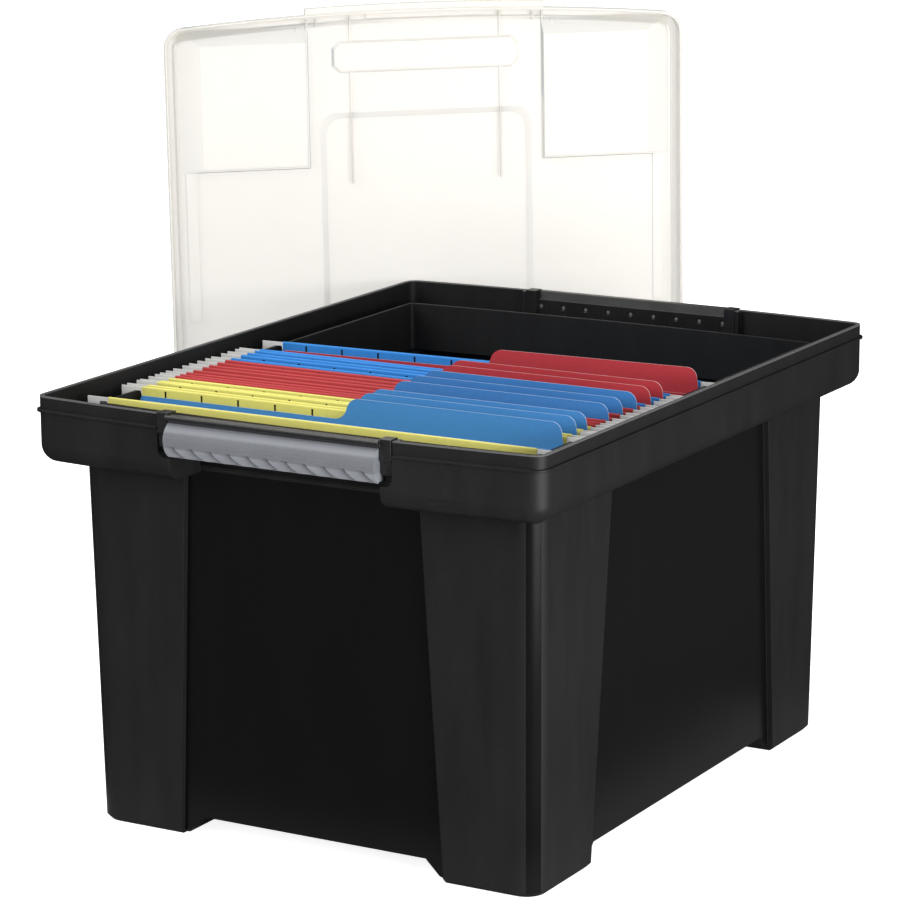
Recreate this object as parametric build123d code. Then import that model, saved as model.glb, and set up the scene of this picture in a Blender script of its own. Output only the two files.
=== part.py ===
from build123d import *
import os
from math import atan2, cos, degrees, pi, radians, sin, sqrt, tan

# Portable file box: a drafted tub with a hanging-file rail and a hollow collar round its rim, a
# locking handle at each end, a loose lid that stands behind it, and the folders it is made to hold.
# Millimetres.  X across the handle ends, Y along the box, Z up, zero at the floor.
# The pieces are drawn about the middle of the tub and written out about the middle of the set.

os.makedirs("parts", exist_ok=True)

# ---------------------------------------------------------------- driving dimensions: tub
rim_width = 353.0            # lip, long side to long side
rim_length = 454.0           # lip, corner to corner along the box
rim_height = 277.0           # top of the lip above the floor
end_bow = 7.5                # how far the handle ends bulge between their corners
rim_corner_radius = 9.0
collar_corner_radius = 12.0
wall = 2.6                   # moulded wall
lip_height = 8.2             # plain lip above the bead
lip_inset = 0.7              # lip set back from the collar's face
bead_height = 1.5
bead_proud = 0.9
collar_depth = 42.0          # top of the lip to the underside of the collar
collar_bottom_radius = 11.5
channel_chamfer = 6.0
rail_drop = 9.0              # rail below the lip
letter_rail_spacing = 309.0  # rail centre to rail centre, for letter folders
legal_rail_spacing = 380.0   # end rail centres at their corners, for legal folders
rail_thickness = 2.2
rail_corner_radius = 5.5
rail_bow = 5.0
base_width = 316.0           # body at the floor
base_length = 399.5
side_draft = 0.75            # degrees
end_draft = 1.1              # degrees
body_corner_radius = 15.0
foot_edge_chamfer = 3.0
panel_recess = 4.0           # panels set back from the corner pillars
side_panel_top = 220.0       # panel width under the collar, long sides
side_panel_bottom = 262.0
end_panel_top = 165.0        # the same, handle ends
end_panel_bottom = 189.0
foot_height = 12.5
side_foot_gap = 240.0        # clear span between the feet under a long side
end_foot_gap = 160.0

# ---------------------------------------------------------------- driving dimensions: handles
handle_gap = 163.0           # break in the collar, across both arms
pocket_round = 5.0           # lower corners of the pockets that the arms hang in
running_gap = 0.3            # between pieces that move on each other
seat_gap = 0.05              # between pieces that are fixed together
arm_width = 8.0
arm_top_rise = 0.8           # arms end this far above the lip
arm_face = 0.4               # front of the arms behind the lip's outer face
arm_step = 264.0             # arms are set back to their round foot below here
arm_foot_radius = 3.6        # about the pin
pin_radius = 2.0
pin_clearance = 0.05
pin_height = 258.5
pin_inset = 5.5              # pin's axis behind the lip's outer face, at the middle of the end
plate_thickness = 2.4
plate_back = 6.5             # back of the plate behind the lip's outer face
plate_bottom = 252.0
plate_top_cut = (3.5, 5.5)   # depth and height cut off the inner top edge of the plate
# Front outlines, as distance in front of the lip's outer face and height
BAR_FRONT = [(1.5, 277.0), (2.3, 276.2), (2.5, 275.2), (2.3, 274.2), (-0.4, 272.2)]
GRIP_TOP = [(-0.4, 272.1), (3.8, 268.3)]
GRIP_FRONT = (6.0, 260.5)
GRIP_FOOT = (0.1, 251.4)
flute_count = 11
flute_pitch = 13.2
flute_radius = 6.2
flute_depth = 1.0
flute_lean = 28.0            # degrees from upright
flute_height = 255.2         # middle of a flute
flute_length = 13.0
flute_facets = 8
dimple_count = 9
dimple_pitch = 17.65
dimple_radius = 1.9
dimple_sides = 6
dimple_depth = 0.9
dimple_height = 267.0

# ---------------------------------------------------------------- driving dimensions: lid
lid_width = 372.6
lid_length = 466.0           # middle of one end to the middle of the other, without the tabs
lid_bow = 9.0                # how far its ends bulge between their corners
lid_corner_radius = 15.0
lid_wall = 2.0
lid_skirt = 14.0
lid_edge_chamfer = 1.2
tab_width = 172.0            # edge that a handle hooks over
tab_reach = 4.5
tab_skirt = 9.0
border_width = 7.5           # flat border round the lid
border_slope = 1.5
field_depth = 3.0            # field below the border
pocket_width = 74.0          # floor of a stacking pocket, across the lid
pocket_length = 87.0
pocket_depth = 4.0           # below the field
pocket_side_inset = 26.0     # pocket's floor from the lid's long edge
pocket_end_inset = 17.6      # pocket's floor from the lid's corner, along the lid
pocket_side_slope = 16.5     # width of the slope beside the long edge
pocket_end_slope = 11.0      # width of the slope beside the end
pocket_inner_slope = 1.2
panel_width = 156.0          # raised panel in the middle of the lid
panel_length = 324.0
panel_rise = 2.0
panel_radius = 12.0
panel_slope = 4.5
landing_width = 130.0        # hollow that a handle's bar drops into
landing_length = 18.0
landing_inset = 32.6         # its middle from the lid's end
landing_depth = 2.5
landing_slope = 1.5
landing_corner = 5.0
# Ribs near the ends: distance between the two of a pair, start from the lid's end, and length
RIBS = [(108.0, 1.0, 122.0), (156.0, -1.0, 12.0), (170.0, -2.0, 15.0), (184.0, 10.7, 11.5)]
rib_width = 1.4
rib_rise = 1.6
grip_bar_width = 84.0        # stiffening bar behind the tab
grip_bar_length = 6.0
grip_bar_inset = 3.0         # its middle from the lid's end
grip_bar_rise = 2.6
side_bar_width = 8.0
side_bar_length = 108.0
side_bar_inset = 16.5        # bar's middle from the lid's long edge
side_bar_gap = 30.0          # between the two bars of one side
side_bar_rise = 1.2
lid_stand = (-173.8, 248.0)  # where the middle of the standing lid's outer face is, seen from above
lid_turn = 40.3              # degrees from the X axis to the lid's width
lid_roll = 0.63              # degrees that it has rolled on its bowed end

# ---------------------------------------------------------------- driving dimensions: folders
paper = 0.5
rod_thickness = 0.8
rod_height = 8.0
rod_overhang = 11.9          # rod beyond the middle of the rail, each end
rod_roof = 2.4               # rod left above its notch
notch_width = 8.0
notch_slope = 1.5            # how far each side of a notch leans in
folder_shift = 1.0           # folders hang this far to the right of the rails' middle
hem_height = 12.0
hem_slack = 0.1
sling_depth = 238.0          # hem's top edge to the bottom fold
sling_foot = 6.0             # width of the bottom fold
slot_width = 1.7
slot_height = 5.2
slot_drop = 1.7              # top of a slot below the hem's top edge
slot_pitch = 27.0
slot_first = -132.8          # from the middle of the folder
slot_count = 10
SLOTTED = ("yellow_1", "blue_3")  # folders whose slots lie open; the others' are closed up
file_side_gap = 0.5          # file folder inside the hanging folder's edge
file_drop = 5.2              # plain edge below the hem's top edge
tab_rise = 13.8
file_tab_left = -3.0         # foot of the tab's left shoulder
tab_run = 5.0                # width of that shoulder
tab_corner = 5.5
file_gap = 0.7               # between the two leaves of a file folder
front_leaf_drop = 3.0

# Middles of the hems along the box: name, front, back at the left end, back at the right end,
# and how far in front of the back hem its file folder stands, or None where it holds none
YELLOW = [("yellow_1", -186.6, -150.0, -150.0, 3.6),
          ("yellow_2", -144.2, -133.6, -133.6, 2.0),
          ("yellow_3", -129.8, -120.4, -120.4, 2.0)]
RED = [("red_1", -113.2, -107.6, -107.6, None),
       ("red_2", -100.8, -92.6, -92.6, 2.0),
       ("red_3", -82.0, -74.4, -74.4, 2.0),
       ("red_4", -64.8, -55.6, -55.6, 2.0)]
BLUE = [("blue_1", -48.6, -36.8, -36.8, 2.0),
        ("blue_2", -29.2, -20.2, -20.2, 2.0),
        ("blue_3", -15.0, 13.0, 30.0, 2.0)]

# ---------------------------------------------------------------- driving dimension: frame
set_middle = (-69.4, 64.35)  # middle of the whole set on the floor, from the middle of the tub

# ---------------------------------------------------------------- worked out from them
rim_x = rim_width / 2
rim_y = rim_length / 2
collar_x = rim_x + lip_inset
collar_y = rim_y + lip_inset
bead_top = rim_height - lip_height
collar_floor = rim_height - collar_depth
rail_top = rim_height - rail_drop
rail_x = (letter_rail_spacing + rail_thickness) / 2
rail_y = (legal_rail_spacing + rail_thickness) / 2
end_face = rim_y + end_bow               # lip's outer face at the middle of a handle end
pocket_floor = pin_height - arm_foot_radius - running_gap - pocket_round


def body_half_x(z):
    return base_width / 2 + z * tan(radians(side_draft))


def body_half_y(z):
    return base_length / 2 + z * tan(radians(end_draft))


def bowed_face(half_x, half_y, bow, radius):
    """A rectangle with straight long sides, ends that bulge by bow, and rounded corners."""
    ends = [ThreePointArc((half_x, half_y), (0, half_y + bow), (-half_x, half_y)),
            ThreePointArc((-half_x, -half_y), (0, -half_y - bow), (half_x, -half_y))]
    sides = [Line((-half_x, half_y), (-half_x, -half_y)), Line((half_x, -half_y), (half_x, half_y))]
    outline = make_face([ends[0], sides[0], ends[1], sides[1]])
    return fillet(outline.vertices(), radius)


def slab(face, low, high):
    return extrude(Pos(0, 0, low) * face, amount=high - low, dir=(0, 0, 1))


def prism_x(points, half_length):
    """A prism along X from (y, z) points."""
    face = make_face(Polyline(*[(0, y, z) for y, z in points], close=True))
    return extrude(face, amount=half_length, dir=(1, 0, 0), both=True)


def prism_y(points, half_length):
    """A prism along Y from (x, z) points."""
    face = make_face(Polyline(*[(x, 0, z) for x, z in points], close=True))
    return extrude(face, amount=half_length, dir=(0, 1, 0), both=True)


def block(low, high):
    size = [b - a for a, b in zip(low, high)]
    return Pos(*low) * Box(*size, align=(Align.MIN, Align.MIN, Align.MIN))


def drafted_block(low, high, inset, corner, toe):
    """The body's drafted block between two heights, set in all round, its bottom edge cut by toe."""
    sections = []
    for z, reach in ((low, inset + toe), (low + toe, inset), (high, inset)):
        sections.append(Pos(0, 0, z) * RectangleRounded(2 * (body_half_x(z) - reach),
                                                        2 * (body_half_y(z) - reach),
                                                        corner + inset - reach))
    return loft(sections, ruled=True)


def panel_band(top, bottom, skin):
    """Outline of the strip between two pillars, widening downwards, as half widths at heights."""
    slope = (bottom - top) / 2 / collar_floor
    reach = [(top / 2 + skin - slope * 10, collar_floor + 10), (bottom / 2 + skin + slope * 10, -10)]
    return [(-reach[0][0], reach[0][1]), reach[0], reach[1], (-reach[1][0], reach[1][1])]


def foot_arch(gap, skin):
    """Outline of the space under the floor between two feet, with ramps at 45 degrees."""
    half = gap / 2 + skin * tan(pi / 8)
    top = foot_height + skin
    return [(-half - top - 1, -1), (-half, top), (half, top), (half + top + 1, -1)]


def body_form(skin, top):
    """The tub's body: recessed panels, corner pillars and feet; skin sets the inside form in."""
    toe = foot_edge_chamfer - skin * (2 - sqrt(2))
    pillars = drafted_block(skin, top, skin, body_corner_radius - skin, toe)
    pillars -= prism_x(panel_band(side_panel_top, side_panel_bottom, skin), base_width)
    pillars -= prism_y(panel_band(end_panel_top, end_panel_bottom, skin), base_length)
    core = drafted_block(skin, top, skin + panel_recess, body_corner_radius - skin, toe)
    form = pillars + core
    form -= prism_x(foot_arch(side_foot_gap, skin), base_width)
    form -= prism_y(foot_arch(end_foot_gap, skin), base_length)
    return form


def between(side, near, far):
    """Lowest and highest Y of a stretch that lies at one end of the box."""
    return sorted((side * near, side * far))


def gap_walls(side, panel_y):
    """Walls that close the collar beside a handle: low walls, pocket floors, and ears for the pins."""
    ear_y = end_face - pin_inset - arm_foot_radius
    reach = end_face + wall + 1
    near, far = between(side, panel_y, reach)
    ear_near, ear_far = between(side, ear_y, reach)
    outer = handle_gap / 2 + wall
    lower = handle_gap / 2 - arm_width + wall
    walls = block((-lower, near, 0), (lower, far, pocket_floor))
    walls += block((-outer, near, pocket_floor - wall), (outer, far, pocket_floor))
    return walls + block((-outer, ear_near, pocket_floor - wall), (outer, ear_far, rim_height + 10))


def gap_cut(side, panel_y):
    """The break in the collar: as wide as the grip below, and as wide as the arms above."""
    reach = end_face + wall + 1
    near, far = between(side, panel_y, reach)
    lower = handle_gap / 2 - arm_width
    cut = block((-lower, near, collar_floor - 5), (lower, far, rim_height + 10))
    wide = block((-handle_gap / 2, near, pocket_floor), (handle_gap / 2, far, rim_height + 10))
    wide = fillet(wide.edges().filter_by(Axis.Y).group_by(Axis.Z)[0], pocket_round)
    return cut + wide


def make_tub():
    collar = slab(bowed_face(collar_x, collar_y, end_bow, collar_corner_radius), collar_floor, bead_top)
    collar = fillet(collar.edges().group_by(Axis.Z)[0], collar_bottom_radius)
    bead = slab(bowed_face(collar_x + bead_proud, collar_y + bead_proud, end_bow,
                           rim_corner_radius + bead_proud), bead_top - bead_height, bead_top)
    lip = slab(bowed_face(rim_x, rim_y, end_bow, rim_corner_radius), bead_top - 1, rim_height)
    outside = body_form(0, collar_floor + 1) + collar + bead + lip

    channel = slab(bowed_face(rim_x - wall, rim_y - wall, end_bow, rim_corner_radius - wall),
                   collar_floor + wall, rim_height + 10)
    channel = chamfer(channel.edges().group_by(Axis.Z)[0], channel_chamfer)
    rail = slab(bowed_face(rail_x, rail_y, rail_bow, rail_corner_radius), collar_floor, rail_top)
    mouth = slab(bowed_face(rail_x - rail_thickness, rail_y - rail_thickness, rail_bow,
                            rail_corner_radius - rail_thickness), collar_floor - 1, rim_height + 10)
    channel -= rail
    panel_y = body_half_y(collar_floor) - panel_recess
    for side in (-1, 1):
        channel -= gap_walls(side, panel_y)
    tub = outside - channel - mouth - body_form(wall, collar_floor)
    for side in (-1, 1):
        tub -= gap_cut(side, panel_y)
        pin = Pos(0, side * (end_face - pin_inset), pin_height) * Rot(0, 90, 0)
        tub -= pin * Cylinder(pin_radius + pin_clearance, handle_gap + 2 * wall + 2)
    return tub


def prism_profile(points, half_length, arc=None):
    """A prism along X from (y, z) points; arc gives a point on the curve that closes the outline."""
    path = [Polyline(*[(0, y, z) for y, z in points])]
    if arc:
        path.append(ThreePointArc(path[0] @ 1, (0, *arc), path[0] @ 0))
    else:
        path.append(Line(path[0] @ 1, path[0] @ 0))
    return extrude(make_face(path), amount=half_length, dir=(1, 0, 0), both=True)


def make_handle_frame():
    """Plate, top bar, two arms and their pins, drawn at the back end of the box."""
    back = end_face - plate_back
    front = [(end_face + reach, z) for reach, z in BAR_FRONT]
    foot = [(back + plate_thickness, front[-1][1]), (back + plate_thickness, plate_bottom)]
    top = [(back, plate_bottom), (back, rim_height - plate_top_cut[1]),
           (back + plate_top_cut[0], rim_height)]
    arm_outer = handle_gap / 2 - running_gap
    frame = prism_profile(top + front + foot, arm_outer - arm_width + 1)
    pin_y = end_face - pin_inset
    arm_front = end_face - arm_face
    arm_top = rim_height + arm_top_rise
    step = arm_front - pin_y - arm_foot_radius
    outline = [(pin_y - arm_foot_radius, pin_height), (pin_y - arm_foot_radius, arm_top),
               (arm_front, arm_top), (arm_front, arm_step + step),
               (pin_y + arm_foot_radius, arm_step), (pin_y + arm_foot_radius, pin_height)]
    arm = prism_profile(outline, arm_width / 2, arc=(pin_y, pin_height - arm_foot_radius))
    pin_length = arm_width / 2 + running_gap + wall
    for side in (-1, 1):
        frame += Pos(side * (arm_outer - arm_width / 2), 0, 0) * arm
        pin = Rot(0, 90, 0) * Cylinder(pin_radius, pin_length)
        frame += Pos(side * (arm_outer - arm_width / 2 + pin_length / 2), pin_y, pin_height) * pin
    for i in range(dimple_count):
        x = (i - (dimple_count - 1) / 2) * dimple_pitch
        dimple = Pos(x, back, dimple_height) * Rot(90, 0, 0) * RegularPolygon(dimple_radius, dimple_sides)
        frame -= extrude(dimple, amount=dimple_depth, both=True)
    return frame


def make_grip():
    """Soft grip in front of the handle's plate, fluted along its lower face."""
    back = end_face - plate_back + plate_thickness + seat_gap
    top = [(end_face + reach, z) for reach, z in GRIP_TOP]
    foot = (end_face + GRIP_FOOT[0], GRIP_FOOT[1])
    points = [foot, (back, foot[1]), (back, top[0][1])] + top
    half = handle_gap / 2 - running_gap - arm_width - seat_gap
    grip = prism_profile(points, half, arc=(end_face + GRIP_FRONT[0], GRIP_FRONT[1]))
    run = GRIP_FRONT[0] - GRIP_FOOT[0]
    rise = GRIP_FRONT[1] - GRIP_FOOT[1]
    face_tilt = atan2(run, rise)
    mid = (flute_height - GRIP_FOOT[1]) / rise
    y = end_face + GRIP_FOOT[0] + run * mid + (flute_radius - flute_depth) * cos(face_tilt)
    z = flute_height - (flute_radius - flute_depth) * sin(face_tilt)
    lean = Rot(-degrees(face_tilt), 0, 0) * Rot(0, flute_lean, 0)
    flute = extrude(RegularPolygon(flute_radius, flute_facets), amount=flute_length / 2, both=True)
    for i in range(flute_count):
        x = (i - (flute_count - 1) / 2) * flute_pitch
        grip -= Pos(x, y, z) * lean * flute
    return grip


def lid_outline(inset, reach=0.0):
    """The lid's outline set in all round; reach moves its ends outwards."""
    return bowed_face(lid_width / 2 - inset, lid_length / 2 - lid_bow - inset + reach, lid_bow,
                      lid_corner_radius - inset)


def tapered(low, high, low_face, high_face):
    return loft([Pos(0, 0, low) * low_face, Pos(0, 0, high) * high_face], ruled=True)


def quarter(x_range, y_range, mirror_x, mirror_y):
    """A rectangle between two lines each way, put in one quarter of the lid."""
    face = Rectangle(x_range[1] - x_range[0], y_range[1] - y_range[0])
    return Pos(mirror_x * sum(x_range) / 2, mirror_y * sum(y_range) / 2, 0) * face


def pocket(mirror_x, mirror_y, low, high, grow):
    """A stacking pocket: wide slopes towards the lid's edges and steep ones towards its middle."""
    far_x = lid_width / 2 - pocket_side_inset
    far_y = lid_length / 2 - lid_bow - pocket_end_inset + lid_bow / 2
    near_x = far_x - pocket_width
    near_y = far_y - pocket_length
    fall = (high - low) / pocket_depth
    mouth = quarter((near_x - pocket_inner_slope * fall - grow, far_x + pocket_side_slope * fall + grow),
                    (near_y - pocket_inner_slope * fall - grow, far_y + pocket_end_slope * fall + grow),
                    mirror_x, mirror_y)
    floor = quarter((near_x - grow, far_x + grow), (near_y - grow, far_y + grow), mirror_x, mirror_y)
    return tapered(low, high, mouth, floor)


def landing(end, low, high, grow):
    """The hollow across the lid that a handle's bar drops into."""
    middle = end * (lid_length / 2 - landing_inset)
    faces = []
    for reach in (grow + landing_slope * (high - low) / landing_depth, grow):
        face = Rectangle(landing_width + 2 * reach, landing_length + 2 * reach)
        faces.append(Pos(0, middle, 0) * chamfer(face.vertices(), landing_corner))
    return tapered(low, high, *faces)


def raised_panel(low, high, grow):
    """The panel in the middle of the lid, between the field and its own level."""
    faces = []
    for reach in (0.0, panel_slope * (low - high) / panel_rise):
        faces.append(RectangleRounded(panel_width + 2 * grow - 2 * reach,
                                      panel_length + 2 * grow - 2 * reach, panel_radius))
    return tapered(high, low, faces[1], faces[0])


def make_lid():
    """The lid lying on its outer face; depth runs from that face towards the box."""
    half_x = lid_width / 2
    length = lid_length / 2 + tab_reach
    field_floor = field_depth + lid_wall
    lid = slab(lid_outline(0), 0, lid_skirt)
    tabs = slab(lid_outline(0, tab_reach), 0, tab_skirt) & Box(tab_width, 3 * length, 3 * lid_skirt)
    lid = chamfer((lid + tabs).edges().group_by(Axis.Z)[0], lid_edge_chamfer)
    lid -= slab(lid_outline(lid_wall), lid_wall, lid_skirt + 1)

    def sunk(low, high, grow):
        return tapered(low, high, lid_outline(border_width - grow),
                       lid_outline(border_width + border_slope - grow))

    def pockets(low, high, grow):
        forms = [pocket(sx, sy, low, high, grow) for sx in (-1, 1) for sy in (-1, 1)]
        return forms + [landing(sy, low, high - pocket_depth + landing_depth, grow) for sy in (-1, 1)]

    lid += sunk(lid_wall / 2, field_floor, lid_wall)
    for form in pockets(field_floor, field_floor + pocket_depth, lid_wall / 2):
        lid += form
    for spacing, start, rib_length in RIBS:
        for side in (-1, 1):
            for end in (-1, 1):
                near, far = between(end, lid_length / 2 - start - rib_length, lid_length / 2 - start)
                lid += block((side * spacing / 2 - rib_width / 2, near, field_depth + 0.5),
                             (side * spacing / 2 + rib_width / 2, far, field_floor + rib_rise))
    for end in (-1, 1):
        bar_y = end * (lid_length / 2 - grip_bar_inset)
        lid += block((-grip_bar_width / 2, bar_y - grip_bar_length / 2, lid_wall / 2),
                     (grip_bar_width / 2, bar_y + grip_bar_length / 2, lid_wall + grip_bar_rise))
    bar_y = (side_bar_gap + side_bar_length) / 2
    for side in (-1, 1):
        for end in (-1, 1):
            lid += Pos(side * (half_x - side_bar_inset), end * bar_y, 0) * slab(
                Rectangle(side_bar_width, side_bar_length), field_floor - 1, field_floor + side_bar_rise)
    lid -= sunk(-seat_gap, field_depth, 0.0)
    for form in pockets(field_depth, field_depth + pocket_depth, 0.0):
        lid -= form
    lid += raised_panel(field_floor - 1, field_depth - panel_rise, 0.0)
    lid -= raised_panel(field_floor + seat_gap, field_floor - panel_rise, -lid_wall / 2)
    roll = radians(lid_roll)
    turn = radians(lid_turn)
    end_radius = (half_x ** 2 + lid_bow ** 2) / (2 * lid_bow)
    height = end_radius - (end_radius - length) * cos(roll)
    stand = Plane(origin=(*lid_stand, height),
                  x_dir=(cos(roll) * cos(turn), cos(roll) * sin(turn), sin(roll)),
                  z_dir=(sin(turn), -cos(turn), 0))
    return stand.location * lid


def skewed(shape, left, right):
    """Move a piece drawn along X so that the ends of a rod's length stand at left and right."""
    turn = degrees(atan2(right - left, rod_length))
    return Pos(0, (left + right) / 2, 0) * Rot(0, 0, turn) * shape


def strip(length, thickness, low, high):
    return Pos(0, 0, (low + high) / 2) * Box(length, thickness, high - low)


rod_length = letter_rail_spacing + 2 * rod_overhang
sling_width = letter_rail_spacing - notch_width
file_width = sling_width - 2 * file_side_gap
rod_top = rail_top + running_gap + rod_roof
hem_top = rod_top + hem_slack + paper
hem_thickness = rod_thickness + 2 * (hem_slack + paper)
fold_bottom = hem_top - sling_depth


def make_rod():
    rod = strip(rod_length, rod_thickness, rod_top - rod_height, rod_top)
    notch_x = letter_rail_spacing / 2
    notch_top = rail_top + running_gap
    for side in (-1, 1):
        low = rod_top - rod_height - 1
        outline = [(-notch_width / 2, low), (-notch_width / 2 + notch_slope, notch_top),
                   (notch_width / 2 - notch_slope, notch_top), (notch_width / 2, low)]
        rod -= Pos(side * notch_x, 0, 0) * prism_y(outline, rod_thickness)
    return rod


def make_hem(slotted):
    hem = strip(sling_width, hem_thickness, hem_top - hem_height, hem_top)
    sleeve_top = hem_top - paper
    hem -= strip(sling_width + 2, rod_thickness + 2 * hem_slack,
                 sleeve_top - rod_height - 2 * hem_slack, sleeve_top)
    if slotted:
        top = hem_top - slot_drop
        for i in range(slot_count):
            x = slot_first + i * slot_pitch
            hem -= block((x - slot_width / 2, -hem_thickness, top - slot_height),
                         (x + slot_width / 2, -rod_thickness / 2 - hem_slack / 2, top))
    return hem


def make_sling(front, left, right, slotted):
    """A hanging folder: two hems, an upright back leaf, a bottom fold and a front leaf to it."""
    leaf_top = hem_top - hem_height + paper
    back = make_hem(slotted) + strip(sling_width, paper, fold_bottom, leaf_top)
    half = sling_width / 2
    slant = (right - left) / rod_length
    foot_y = (left + right) / 2 - abs(slant) * half - sling_foot
    corners = [(-half, (left + right) / 2 - slant * half), (half, (left + right) / 2 + slant * half),
               (half, foot_y), (-half, foot_y)]
    fold = make_face(Polyline(*[(x, y, fold_bottom) for x, y in corners], close=True))
    sling = skewed(back, left, right) + extrude(fold, amount=paper, dir=(0, 0, 1))
    sling += Pos(0, front, 0) * make_hem(False)
    top = Pos(0, front, leaf_top) * Rectangle(sling_width, paper)
    foot = Pos(0, foot_y, fold_bottom) * Rectangle(sling_width, paper)
    return sling + loft([foot, top], ruled=True)


def make_file(left, right, ahead):
    """A file folder with a half-cut tab on its back leaf."""
    bottom = fold_bottom + paper + running_gap
    edge = hem_top - file_drop
    half = file_width / 2
    tab_top = edge + tab_rise
    outline = Polyline((-half, bottom), (-half, edge), (file_tab_left, edge),
                       (file_tab_left + tab_run, tab_top), (half - tab_run / 3, tab_top),
                       (half, edge), (half, bottom), close=True)
    face = make_face(outline)
    rounded = [v for v in face.vertices() if v.Y > tab_top - 1]
    face = fillet(rounded, tab_corner)
    foot = [v for v in face.vertices() if abs(v.X - file_tab_left) < 1 and abs(v.Y - edge) < 1]
    face = fillet(foot, tab_corner)
    back = extrude(Plane.XZ * face, amount=paper / 2, both=True)
    step = file_gap + paper
    front = Pos(0, -step, 0) * strip(file_width, paper, bottom, edge - front_leaf_drop)
    fold = Pos(0, -step / 2, 0) * strip(file_width, step + paper, bottom, bottom + paper)
    return skewed(Pos(0, -ahead, 0) * (back + front + fold), left, right)


pieces = {"tub": make_tub(), "lid": make_lid()}
handle_frame = make_handle_frame()
grip = make_grip()
half_turn = Rot(0, 0, 180)
pieces["rear_handle_frame"] = handle_frame
pieces["rear_handle_grip"] = grip
pieces["front_handle_frame"] = half_turn * handle_frame
pieces["front_handle_grip"] = half_turn * grip
rod = make_rod()
for name, front, left, right, ahead in YELLOW + RED + BLUE:
    pieces["hanging_folder_" + name] = make_sling(front, left, right, name in SLOTTED)
    pieces["rod_front_" + name] = Pos(0, front, 0) * rod
    pieces["rod_back_" + name] = skewed(rod, left, right)
    if ahead is not None:
        pieces["file_folder_" + name] = make_file(left, right, ahead)

for name, piece in pieces.items():
    if name.startswith(("hanging", "rod", "file")):
        piece = Pos(folder_shift, 0, 0) * piece
    piece = Pos(-set_middle[0], -set_middle[1], 0) * piece
    solids = piece.solids()
    export_step(solids[0] if len(solids) == 1 else piece, "parts/" + name + ".step")
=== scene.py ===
from math import cos, pi, radians, sin

import bmesh
import bpy
from mathutils import Matrix, Vector


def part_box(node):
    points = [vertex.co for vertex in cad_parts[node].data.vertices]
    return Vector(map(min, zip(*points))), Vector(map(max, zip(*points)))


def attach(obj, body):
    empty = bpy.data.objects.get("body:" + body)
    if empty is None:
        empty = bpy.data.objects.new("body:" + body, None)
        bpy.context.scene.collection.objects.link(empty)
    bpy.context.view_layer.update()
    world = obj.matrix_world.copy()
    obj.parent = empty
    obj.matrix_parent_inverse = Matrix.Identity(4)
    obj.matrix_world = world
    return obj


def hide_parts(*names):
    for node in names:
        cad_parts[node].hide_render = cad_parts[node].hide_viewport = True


bl_info = {
    "name": "Portable File Box",
    "version": (1, 0, 0),
    "blender": (4, 5, 0),
    "location": "View3D > Sidebar > File Box",
    "description": "Dresses the file box's fixed frame with its finishes, grips, folders and studio",
    "category": "Object",
}

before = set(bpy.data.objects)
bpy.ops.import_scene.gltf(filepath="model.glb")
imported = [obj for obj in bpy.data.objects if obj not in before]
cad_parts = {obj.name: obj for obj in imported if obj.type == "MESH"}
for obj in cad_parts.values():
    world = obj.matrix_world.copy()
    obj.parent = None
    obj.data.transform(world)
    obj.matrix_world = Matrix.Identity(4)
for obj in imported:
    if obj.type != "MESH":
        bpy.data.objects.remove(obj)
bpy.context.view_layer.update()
MM = 0.001

# ------------------------------------------------------------------ places read from the frame
def middle(node, axis):
    """Middle of a CAD node's box along one axis."""
    low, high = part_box(node)
    return (low[axis] + high[axis]) / 2


def span(node, axis):
    """Size of a CAD node's box along one axis."""
    low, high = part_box(node)
    return high[axis] - low[axis]


FOLDERS = [node.removeprefix("hanging_folder_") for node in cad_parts
           if node.startswith("hanging_folder_")]
FIRST = sorted(FOLDERS)[0]
TUB_X = middle("tub", 0)
TUB_Y = middle("tub", 1)
FOLDER_X = middle(f"hanging_folder_{FIRST}", 0)
SLING_WIDTH = span(f"hanging_folder_{FIRST}", 0)
FOLD_BOTTOM, HEM_TOP = (corner[2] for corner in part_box(f"hanging_folder_{FIRST}"))
ROD_LENGTH = span(f"rod_front_{FIRST}", 0)
FILE_WIDTH = span(f"file_folder_{FIRST}", 0)
FILE_BOTTOM, FILE_TOP = (corner[2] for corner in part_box(f"file_folder_{FIRST}"))

# ------------------------------------------------------------------ shared sizes, in metres
RIM_TOP = 0.277
COLLAR_FLOOR = 0.235
BODY_HALF_X = 0.158
BODY_HALF_Y = 0.19975
SIDE_DRAFT = radians(0.75)
END_DRAFT = radians(1.1)
RIM_PAINTED_HIGHLIGHT = 0.0006           # the rim's top edge carries a painted highlight this far down
PANEL_TONGUE = 0.0016       # a wall this far inside the pillars' faces counts as panel
END_FACE = 0.2345           # lip's outer face at the middle of a handle end
PLATE_BACK = END_FACE - 0.0065
DIMPLE_PITCH = 0.01765
DIMPLE_HEIGHT = 0.267
DIMPLE_DEPTH = 0.0009
ROD_HALF = 0.0004           # half of a rod's thickness
HEM_HEIGHT = 0.012
HEM_HALF = 0.00075          # middle of the folded paper from the middle of the rod
PAPER = 0.0005
SLING_FOOT = 0.006
SLOT_WIDTH = 0.0016
SLOT_HEIGHT = 0.0065
SLOT_DEPTH = 0.0003
SLOT_DROP = 0.0016
SLOT_PITCH = 0.027
SLOT_FIRST = -0.1328
SLOT_COUNT = 10
CARD = 0.0005
TAB_RISE = 0.0138
FILE_EDGE = FILE_TOP - TAB_RISE
TAB_LEFT = -0.003
TAB_RUN = 0.005
TAB_CORNER = 0.0058
TAB_SHIFTS = {"yellow_1": 0.002, "blue_1": 0.0015, "blue_2": -0.001, "blue_3": 0.005}
FILE_STEP = 0.0012          # between the middles of a file folder's two leaves
FRONT_LEAF_DROP = 0.003
LID_TURN = radians(40.3)    # the standing lid, from the X axis to its width
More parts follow.
